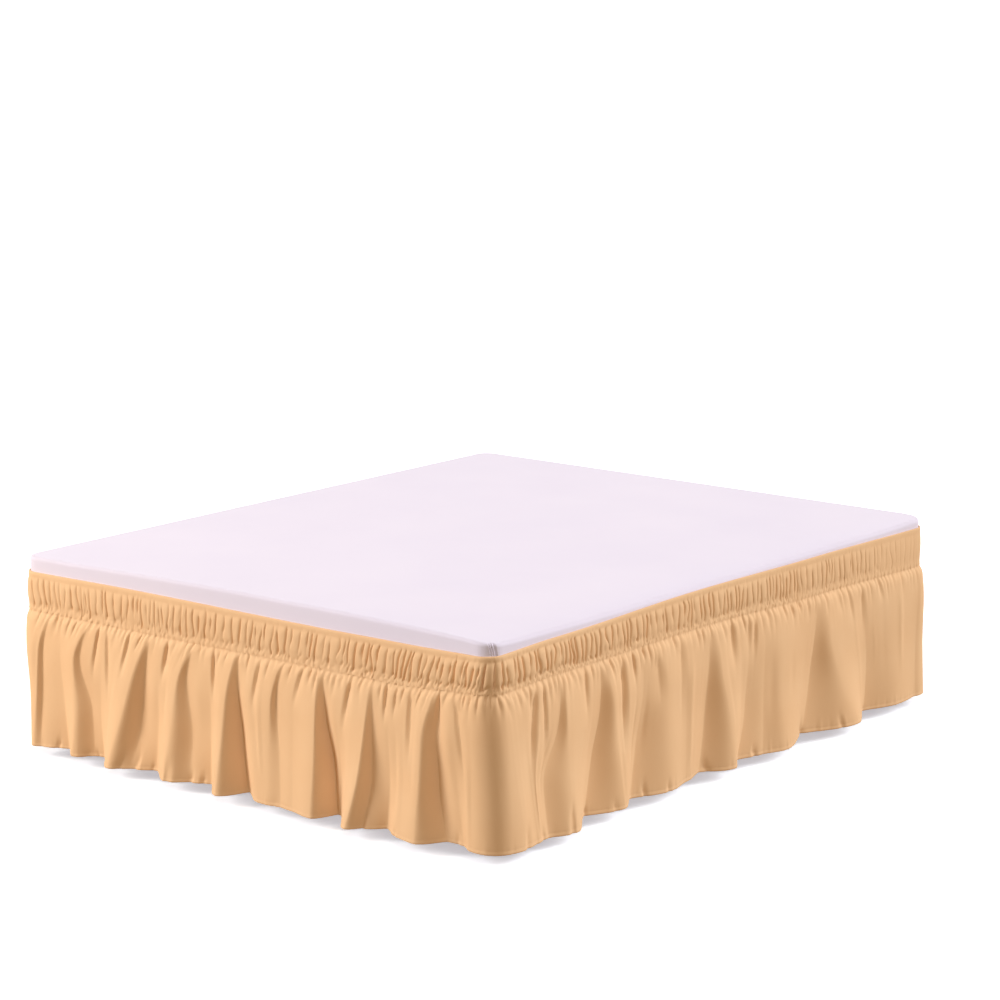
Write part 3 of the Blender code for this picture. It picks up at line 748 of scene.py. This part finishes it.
# Single tucks that start at the seam and run out part of the way down: the place of the
# tuck's foot at its top and at its end, the levels where it starts and ends, how wide its
# steep side is and how deep. On the foot the steep side lies left of the tuck's foot, on
# the right side it lies right of it.
FOOT_TUCKS = (
    # top,   end,    from,  to,   width, depth
    (0.069, 0.056, 0.00, 0.12, 0.007, 0.003),
    (0.135, 0.131, 0.00, 0.14, 0.007, 0.004),
    (0.184, 0.168, 0.00, 0.16, 0.007, 0.004),
    (0.210, 0.194, 0.00, 0.14, 0.006, 0.004),
    (0.296, 0.259, 0.00, 0.46, 0.010, 0.007),
    (0.324, 0.328, 0.00, 0.60, 0.011, 0.007),
    (0.357, 0.359, 0.00, 0.14, 0.006, 0.003),
    (0.408, 0.383, 0.00, 0.36, 0.010, 0.009),
    (0.450, 0.431, 0.00, 0.15, 0.006, 0.004),
    (0.545, 0.525, 0.01, 0.33, 0.012, 0.010),
    (0.573, 0.570, 0.00, 0.10, 0.006, 0.003),
    (0.610, 0.603, 0.00, 0.14, 0.005, 0.004),
    (0.660, 0.656, 0.00, 0.13, 0.005, 0.003),
    (0.707, 0.710, 0.00, 0.40, 0.011, 0.009),
    (0.728, 0.723, 0.00, 0.12, 0.006, 0.004),
    (0.755, 0.747, 0.00, 0.10, 0.006, 0.003),
    (0.827, 0.823, 0.00, 0.12, 0.006, 0.003),
    (0.870, 0.841, 0.00, 0.40, 0.011, 0.008),
    (0.898, 0.890, 0.00, 0.15, 0.006, 0.004),
    (0.972, 0.966, 0.00, 0.12, 0.006, 0.003),
    (1.013, 0.984, 0.00, 0.30, 0.010, 0.007),
    (1.038, 1.034, 0.00, 0.12, 0.006, 0.004),
    (1.057, 1.053, 0.00, 0.20, 0.005, 0.005),
    (1.101, 1.094, 0.00, 0.12, 0.006, 0.003),
    (1.120, 1.106, 0.00, 0.20, 0.007, 0.004),
    (1.142, 1.134, 0.00, 0.10, 0.006, 0.003),
    (1.172, 1.143, 0.00, 0.42, 0.012, 0.009),
    (1.205, 1.197, 0.00, 0.12, 0.006, 0.003),
    (1.267, 1.263, 0.00, 0.13, 0.006, 0.003),
    (1.284, 1.280, 0.00, 0.28, 0.009, 0.008),
    (1.318, 1.311, 0.00, 0.24, 0.009, 0.006),
    (1.339, 1.335, 0.00, 0.12, 0.006, 0.003),
    (1.363, 1.365, 0.00, 0.55, 0.015, 0.009),
    (1.395, 1.381, 0.00, 0.16, 0.006, 0.004),
    (1.450, 1.440, 0.00, 0.34, 0.012, 0.008),
    (1.474, 1.458, 0.00, 0.13, 0.007, 0.004),
    (1.498, 1.532, 0.00, 0.60, 0.013, 0.007),
    (1.528, 1.526, 0.00, 0.11, 0.006, 0.003),
    (1.545, 1.544, 0.00, 0.09, 0.006, 0.003),
    (1.567, 1.569, 0.00, 0.12, 0.006, 0.004),
)
RIGHT_TUCKS = (
    # top,   end,    from,  to,   width, depth
    (0.001, 0.004, 0.00, 0.10, 0.006, 0.003),
    (0.021, 0.031, 0.00, 0.13, 0.007, 0.003),
    (0.043, 0.058, 0.00, 0.15, 0.007, 0.004),
    (0.066, 0.076, 0.00, 0.10, 0.006, 0.003),
    (0.088, 0.102, 0.00, 0.16, 0.007, 0.004),
    (0.114, 0.128, 0.00, 0.13, 0.007, 0.004),
    (0.138, 0.139, 0.00, 0.22, 0.007, 0.004),
    (0.163, 0.128, 0.00, 0.60, 0.020, 0.011),
    (0.190, 0.196, 0.00, 0.62, 0.011, 0.007),
    (0.209, 0.217, 0.00, 0.20, 0.007, 0.004),
    (0.231, 0.239, 0.00, 0.16, 0.008, 0.004),
    (0.300, 0.316, 0.00, 0.12, 0.007, 0.005),
    (0.324, 0.332, 0.00, 0.16, 0.007, 0.004),
    (0.356, 0.360, 0.00, 0.38, 0.016, 0.007),
    (0.383, 0.387, 0.00, 0.12, 0.006, 0.003),
    (0.457, 0.472, 0.00, 0.14, 0.007, 0.004),
    (0.506, 0.510, 0.00, 0.72, 0.026, 0.013),
    (0.552, 0.562, 0.00, 0.26, 0.010, 0.006),
    (0.597, 0.601, 0.00, 0.10, 0.007, 0.005),
    (0.622, 0.625, 0.00, 0.14, 0.007, 0.004),
    (0.652, 0.665, 0.08, 0.45, 0.036, 0.007),
    (0.728, 0.734, 0.00, 0.12, 0.007, 0.004),
    (0.755, 0.760, 0.00, 0.70, 0.036, 0.007),
    (0.831, 0.837, 0.00, 0.12, 0.007, 0.004),
    (0.854, 0.857, 0.00, 0.14, 0.007, 0.004),
    (0.940, 0.956, 0.00, 0.16, 0.008, 0.004),
    (0.984, 0.992, 0.00, 0.38, 0.024, 0.010),
    (1.037, 1.047, 0.00, 0.14, 0.008, 0.005),
    (1.065, 1.061, 0.00, 0.30, 0.014, 0.006),
    (1.097, 1.083, 0.00, 0.36, 0.012, 0.006),
    (1.152, 1.166, 0.00, 0.10, 0.008, 0.005),
    (1.229, 1.233, 0.00, 0.12, 0.007, 0.004),
    (1.265, 1.269, 0.00, 0.12, 0.008, 0.005),
    (1.303, 1.307, 0.00, 0.10, 0.010, 0.005),
    (1.344, 1.348, 0.00, 0.16, 0.008, 0.004),
    (1.485, 1.505, 0.00, 0.20, 0.010, 0.004),
    (1.536, 1.566, 0.00, 0.30, 0.012, 0.005),
    (1.606, 1.626, 0.04, 0.45, 0.030, 0.005),
    (1.697, 1.717, 0.00, 0.20, 0.012, 0.004),
)

# Short soft wrinkles that the stitched hem draws up, along the foot and on round the
# corner: how far each leans, and the share of the drop where it starts.
HEM_WRINKLES = (
    # place, lean,  from, depth, width
    (0.116, 0.012, 0.91, 0.0040, 0.006),
    (0.234, 0.008, 0.94, 0.0030, 0.006),
    (0.265, -0.006, 0.94, 0.0035, 0.006),
    (0.378, 0.016, 0.88, 0.0040, 0.007),
    (0.417, 0.018, 0.86, 0.0045, 0.008),
    (0.467, 0.010, 0.92, 0.0025, 0.006),
    (0.558, 0.008, 0.82, 0.0050, 0.010),
    (0.614, 0.014, 0.90, 0.0035, 0.008),
    (0.651, 0.010, 0.92, 0.0030, 0.007),
    (0.925, 0.008, 0.93, 0.0025, 0.007),
    (1.154, 0.010, 0.92, 0.0035, 0.006),
    (1.218, 0.012, 0.90, 0.0035, 0.007),
    (1.323, 0.006, 0.93, 0.0025, 0.006),
    (1.492, 0.010, 0.90, 0.0030, 0.008),
    (1.698, 0.006, 0.86, 0.0050, 0.010),
    (1.773, -0.006, 0.92, 0.0030, 0.008),
    (1.862, 0.004, 0.80, 0.0060, 0.008),
    (1.985, -0.008, 0.92, 0.0030, 0.007),
    (2.076, -0.010, 0.92, 0.0030, 0.007),
    (2.219, -0.010, 0.90, 0.0045, 0.007),
    (2.298, -0.008, 0.92, 0.0030, 0.008),
    (2.500, -0.020, 0.90, 0.0045, 0.009),
    (2.701, -0.012, 0.92, 0.0035, 0.008),
    (2.954, -0.028, 0.86, 0.0055, 0.010),
    (3.095, -0.016, 0.90, 0.0040, 0.008),
    (3.257, -0.010, 0.92, 0.0030, 0.008),
)

# The small gathers, soft folds and ripples that a seeded rule places.
RUFFLE_SEED = 23
GATHER_PITCH = (0.014, 0.028)
WIDEST_GATHER = 0.030
CLOSEST_GATHER = 0.006
GATHER_RUN = (0.07, 0.22)          # share of the drop
GATHER_DEPTH = (0.0024, 0.0052)
GATHER_WIDTH = (0.0024, 0.0036)
GATHER_SWELL = 0.0056
SOFT_FOLD_PITCH = 0.070
SOFT_FOLD_HEIGHT = 0.0028
SOFT_FOLD_WIDTH = (0.009, 0.017)
HEM_RIPPLE_PITCH = 0.022
HEM_RIPPLE_HEIGHT = 0.0012
HEM_RIPPLE_WIDTH = 0.005

HIDDEN_START = BED_WIDTH + BED_LENGTH    # the place where the sides that face away begin
ruffle_rng = random.Random(RUFFLE_SEED)
hand_places = sorted([row[0] for row in FOOT_TUCKS] + [BED_WIDTH + row[0] for row in RIGHT_TUCKS]
                     + [place for place in fold_places[1:-1, 0] if place > HIDDEN_START])
gather_places = [0.0]
for place in hand_places + [PERIMETER]:
    # further gathers fill the stretches that no tuck holds
    while place - gather_places[-1] > WIDEST_GATHER:
        gather_places.append(gather_places[-1] + ruffle_rng.uniform(*GATHER_PITCH))
    if CLOSEST_GATHER < place - gather_places[-1] and place < PERIMETER:
        gather_places.append(place)
gather_places = np.array(gather_places)


def follow_lines(seam_places):
    """Between which fold lines places along the seam lie, and at what share of the way."""
    number = np.clip(np.searchsorted(fold_places[:, 0], seam_places, side="right") - 1,
                     0, len(fold_places) - 2)
    share = (seam_places - fold_places[number, 0]) / (
        fold_places[number + 1, 0] - fold_places[number, 0])
    return number, share


def widest_between(start, end):
    """How wide the cloth between two places along the seam spreads on its way to the hem."""
    number, share = follow_lines(np.array([start, end]))
    places = fold_places[number] + np.diff(fold_places, axis=0)[number] * share[:, None]
    return float(np.max(places[1] - places[0]))


# Columns lie about this far apart where the cloth is widest, and closer beside a gather.
COLUMN_PITCH = 0.0036
ruffle_columns = []
for start, end in zip(gather_places, np.append(gather_places[1:], PERIMETER)):
    steps = max(6, math.ceil(widest_between(start, end) / COLUMN_PITCH))
    even = np.arange(steps) / steps
    ruffle_columns += list(start + (end - start) * (even - 0.07 * np.sin(2 * math.pi * even)))
ruffle_columns = np.array(ruffle_columns)


def smooth_through(levels, values, at):
    """Monotone cubic through values at the levels, one curve for each entry of the rest."""
    levels, values = np.asarray(levels), np.asarray(values)
    step = np.diff(levels)[:, None]
    slope = np.diff(values, axis=0) / step
    tangent = np.zeros_like(values)
    before, after = slope[:-1], slope[1:]
    same_way = before * after > 0
    tangent[1:-1][same_way] = (2 * before * after)[same_way] / (before + after)[same_way]
    tangent[0], tangent[-1] = slope[0], slope[-1]
    row = np.clip(np.searchsorted(levels, at, side="right") - 1, 0, len(levels) - 2)
    width = step[row]
    share = ((at - levels[row]) / width[:, 0])[:, None]
    first, last = values[row], values[row + 1]
    leaving = tangent[row] * width * share * (1 - share) ** 2
    arriving = tangent[row + 1] * width * share ** 2 * (share - 1)
    return (first * (1 + 2 * share) * (1 - share) ** 2 + leaving
            + last * share ** 2 * (3 - 2 * share) + arriving)


def ruffle_shape():
    """The ruffle's points: folds, gathers, tucks and hem, as rows from hem to seam."""
    line_place = smooth_through(FOLD_LEVELS, fold_places.T, down)
    line_out = smooth_through(FOLD_LEVELS, fold_outs.T, down)
    number, share = follow_lines(ruffle_columns)
    place = line_place[:, number] + (line_place[:, number + 1] - line_place[:, number]) * share
    start, end = line_out[:, number], line_out[:, number + 1]
    # a crest is round and the foot of a slope sharper
    climb = np.where(end > start, share[None, :], 1 - share[None, :])
    profile = 0.5 * np.sin(climb * math.pi / 2) + 0.5 * (1 - np.cos(climb * math.pi)) / 2
    out = np.minimum(start, end) + np.abs(end - start) * profile
    hem_out = out[down.argmax()]

    # small gathers: the cloth swells out between narrow troughs that start at the seam
    swell = GATHER_SWELL * fade(down, -0.01, 0.07) * (1 - fade(down, 0.12, 0.62)) + 0.0008
    relief = np.zeros_like(out)
    for spot in gather_places:
        index, distance = near_columns(ruffle_columns, spot, reach_along=0.030)
        run = ruffle_rng.uniform(*GATHER_RUN)
        deep = ruffle_rng.uniform(*GATHER_DEPTH)
        width = ruffle_rng.uniform(*GATHER_WIDTH)
        body = fade(down, -0.02, 0.02) * (1 - np.clip(down / run, 0, 1)) ** 1.3
        spread = width * (1 + 2.2 * np.clip(down / run, 0, 1))
        trough = np.exp(-(np.abs(distance)[None, :] / spread[:, None]) ** 1.7)
        relief[:, index] -= deep * body[:, None] * trough
    # tucks: a steep side down to a crease, and a slow rise beyond it
    tucks = [(1.0, 0.0, row) for row in FOOT_TUCKS]
    tucks += [(-1.0, BED_WIDTH, row) for row in RIGHT_TUCKS]
    for spot in gather_places[gather_places > HIDDEN_START]:
        if ruffle_rng.random() < 0.30:
            tucks.append((ruffle_rng.choice((-1.0, 1.0)), 0.0, (
                spot, spot + ruffle_rng.uniform(-0.02, 0.02), 0.0, ruffle_rng.uniform(0.2, 0.6),
                ruffle_rng.uniform(0.008, 0.016), ruffle_rng.uniform(0.005, 0.010))))
    for hand, side_start, (top, finish, begins, ends, width, deep) in tucks:
        index, _ = near_columns(ruffle_columns, side_start + top, reach_along=0.110)
        length_share = np.clip((down - begins) / (ends - begins), 0, 1)
        foot = side_start + top + (finish - top) * length_share ** 0.9
        body = fade(length_share, 0.0, 0.22) * (1 - fade(length_share, 0.45, 1.0))
        body = body * (down >= begins)
        steep = width * (0.45 + 0.75 * length_share)
        across = hand * (place[:, index] - foot[:, None]) / steep[:, None]
        fall = np.clip(across + 1, 0, 1) ** 1.6
        rise = np.clip(1 - across / 3.2, 0, 1) ** 2
        relief[:, index] -= deep * body[:, None] * np.where(across < 0, fall, rise)
    # broader soft folds that come and go between the seam and the hem
    for spot in uneven_places(ruffle_rng, SOFT_FOLD_PITCH, 0.6, 1.5):
        index, distance = near_columns(ruffle_columns, spot, reach_along=0.060)
        begins, ends = ruffle_rng.uniform(0.02, 0.30), ruffle_rng.uniform(0.60, 1.05)
        tall = ruffle_rng.uniform(-SOFT_FOLD_HEIGHT, SOFT_FOLD_HEIGHT)
        width = ruffle_rng.uniform(*SOFT_FOLD_WIDTH)
        body = fade(down, begins, begins + 0.25) * (1 - fade(down, ends - 0.30, ends))
        relief[:, index] += tall * body[:, None] * np.exp(-(distance[None, :] / width) ** 2)
    # the stitched hem draws up into short wrinkles and tiny ripples
    for spot, lean, begins, deep, width in HEM_WRINKLES:
        body = fade(down, begins, begins + 0.5 * (1 - begins))
        across = (place - spot - lean * (1 - down)[:, None] / (1 - begins)) / width
        relief -= deep * body[:, None] * np.exp(-across ** 2) * (np.abs(across) < 4)
    for spot in uneven_places(ruffle_rng, HEM_RIPPLE_PITCH, 0.4, 1.7):
        across = (place - spot) / HEM_RIPPLE_WIDTH
        tall = ruffle_rng.uniform(-HEM_RIPPLE_HEIGHT, HEM_RIPPLE_HEIGHT)
        body = fade(down, 0.90, 0.985)
        relief += tall * body[:, None] * np.exp(-across ** 2) * (np.abs(across) < 4)
    out = out + swell[:, None] + relief - behind[:, None]
    # close under the seam no gather reaches into the mattress
    out = np.where(down[:, None] < 0.17, np.maximum(out, RUFFLE_LEAST_OUT), out)
    at_seam = (1 - fade(down, 0.003, 0.034))[:, None]
    out = out * (1 - at_seam) + (seam_out(ruffle_columns) - UNDER_BAND)[None, :] * at_seam

    seam = band_heights(ruffle_columns)[1] - SEAM_GAP
    strength = np.interp(ruffle_columns, PUCKER_RUN[:, 0], PUCKER_RUN[:, 1])
    seam = seam + seam_pucker(ruffle_columns) * strength
    drop = np.sqrt((seam - HEM_HEIGHT) ** 2 - (hem_out - RUFFLE_SEAM_OUT) ** 2)
    fall = HEM_FALL * (hem_out - RUFFLE_MIDDLE_OUT)
    height = seam[None, :] - drop[None, :] * down[:, None] - fall[None, :] * (down ** 2)[:, None]
    return np.concatenate((round_the_bed(place, out), height[..., None]), axis=-1)


RUFFLE_CLOTH = 9.0      # length of the strip before it is gathered
RUFFLE_DROP = 0.375     # its height from seam to hem, along the cloth
row_length = np.concatenate(((0.0,), np.cumsum(np.abs(np.diff(down)) * RUFFLE_DROP)))
ruffle = wrapped_cloth("ruffle_gathered", ruffle_columns, len(down), RUFFLE_CLOTH,
                       row_length, ruffle_shape)
ruffle.data.materials.append(skirt_cloth)

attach(ruffle, "root")
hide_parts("ruffle")
bpy.ops.object.select_all(action="DESELECT")


# ---------------------------------------------------------------------------------------
# Bed base: planed pine, legs and rails screwed together, slats laid across. The CAD's own
# pieces are kept, and each takes its grain along its length.
GROWTH_LINE = 0.004
GRAIN_RUN = 0.25


def planed_pine(name, long_axis):
    """Pine, planed and waxed: pale yellow, darker growth lines about 4 mm apart."""
    wood, shader = new_material(name, {"Roughness": 0.52})
    stretch = [GRAIN_RUN / GROWTH_LINE] * 3
    stretch["XYZ".index(long_axis)] = 1.0
    at = add_node(wood, "ShaderNodeTexCoord")
    placed = add_node(wood, "ShaderNodeMapping", {"Scale": stretch},
                      {"Vector": at.outputs["Object"]})
    wander = add_node(wood, "ShaderNodeTexNoise", {"Scale": 0.6, "Detail": 3.0},
                      {"Vector": placed.outputs["Vector"]})
    fibre = add_node(wood, "ShaderNodeTexNoise", {"Scale": 4.0, "Detail": 6.0, "Roughness": 0.7},
                     {"Vector": placed.outputs["Vector"]})
    many = add_node(wood, "ShaderNodeMath", {"operation": "MULTIPLY", 1: 9.0},
                    {0: wander.outputs["Fac"]})
    rings = add_node(wood, "ShaderNodeMath", {"operation": "PINGPONG", 1: 0.5},
                     {0: many.outputs[0]})
    grain = add_node(wood, "ShaderNodeMix", {"data_type": "FLOAT", 0: 0.4},
                     {2: rings.outputs[0], 3: fibre.outputs["Fac"]})
    colour = add_node(wood, "ShaderNodeMix",
                      {"data_type": "RGBA", 6: linear("B98A50"), 7: linear("DDB981")},
                      {0: grain.outputs[0]})
    wood.node_tree.links.new(colour.outputs[2], shader.inputs["Base Color"])
    bump = add_node(wood, "ShaderNodeBump", {"Strength": 0.2, "Distance": 0.0004},
                    {"Height": fibre.outputs["Fac"]})
    wood.node_tree.links.new(bump.outputs["Normal"], shader.inputs["Normal"])
    return wood


pine_across = planed_pine("pine_planed_grain_across", "X")
pine_along = planed_pine("pine_planed_grain_along", "Y")
pine_upright = planed_pine("pine_planed_grain_upright", "Z")
GRAINS = (
    # starts of the pieces' names, their wood
    (("slat_", "end_rail"), pine_across),
    (("side_rail", "middle_rail"), pine_along),
    (("leg_", "middle_leg"), pine_upright),
)
for starts, wood in GRAINS:
    for name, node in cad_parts.items():
        if name.startswith(starts):
            for slot in node.material_slots:
                slot.material = wood


# ---------------------------------------------------------------------------------------
# Studio: a plain white floor that runs out to a white surround, large soft lights from
# the left, the back right and the front, and one weak lamp. The floor glows a little, as
# a light table does, so that only faint shadows lie on it.
FLOOR_SIZE = 120.0
FLOOR_GLOW = 0.5
DAYLIGHT = "F2F8FF"
LAMPLIGHT = "FFEAD2"

bpy.ops.mesh.primitive_plane_add(size=FLOOR_SIZE, location=(0.0, 0.0, 0.0))
floor = bpy.context.object
floor.name = "studio_floor"
floor_paint, _ = new_material("studio_floor_paint", {
    "Base Color": linear("FFFFFF"), "Roughness": 0.9,
    "Emission Color": linear("EAF3FF"), "Emission Strength": FLOOR_GLOW})
floor.data.materials.append(floor_paint)
floor.visible_diffuse = False


def soft_sun(name, azimuth, elevation, strength, spread):
    """A broad distant light; azimuth is where it stands, from +X towards +Y."""
    bpy.ops.object.light_add(type="SUN", location=(0.0, 0.0, 5.0))
    lamp = bpy.context.object
    lamp.name = name
    lamp.data.energy = strength
    lamp.data.angle = math.radians(spread)
    lamp.data.color = linear(DAYLIGHT)[:3]
    lamp.rotation_euler = (0.0, math.radians(90 - elevation), math.radians(azimuth))


soft_sun("key_from_the_left", 221, 25, 2.50, 24)
soft_sun("fill_from_the_back_right", 52, 28, 3.00, 26)
soft_sun("broad_light_from_the_front", 315, 36, 1.05, 50)

# A weak warm lamp stands in front of the foot's left end.
LEFT_LAMP = (-2.3, -2.7, 1.0)
LAMP_TILT = 72    # degrees up from straight down, so it faces the bed
bpy.ops.object.light_add(type="AREA", location=LEFT_LAMP)
left_lamp = bpy.context.object
left_lamp.name = "left_lamp"
left_lamp.data.shape = "DISK"
left_lamp.data.size = 1.2
left_lamp.data.energy = 24.0
left_lamp.data.color = linear(LAMPLIGHT)[:3]
left_lamp.rotation_euler = (math.radians(LAMP_TILT), 0.0, math.atan2(LEFT_LAMP[0], -LEFT_LAMP[1]))
left_lamp.visible_camera = False

# The surround is seen white, and lights the bed dimly and warmly.
SURROUND_LIGHT = 0.25
warm_light = [SURROUND_LIGHT * channel for channel in linear("FFD083")[:3]] + [1.0]
world = bpy.data.worlds.new("white_surround")
world.use_nodes = True
seen = add_node(world, "ShaderNodeLightPath")
surround = add_node(world, "ShaderNodeMix",
                    {"data_type": "RGBA", 6: warm_light, 7: (1.0, 1.0, 1.0, 1.0)},
                    {0: seen.outputs["Is Camera Ray"]})
background = world.node_tree.nodes["Background"]
world.node_tree.links.new(surround.outputs[2], background.inputs["Color"])
bpy.context.scene.world = world
bpy.context.scene.view_settings.view_transform = "Standard"
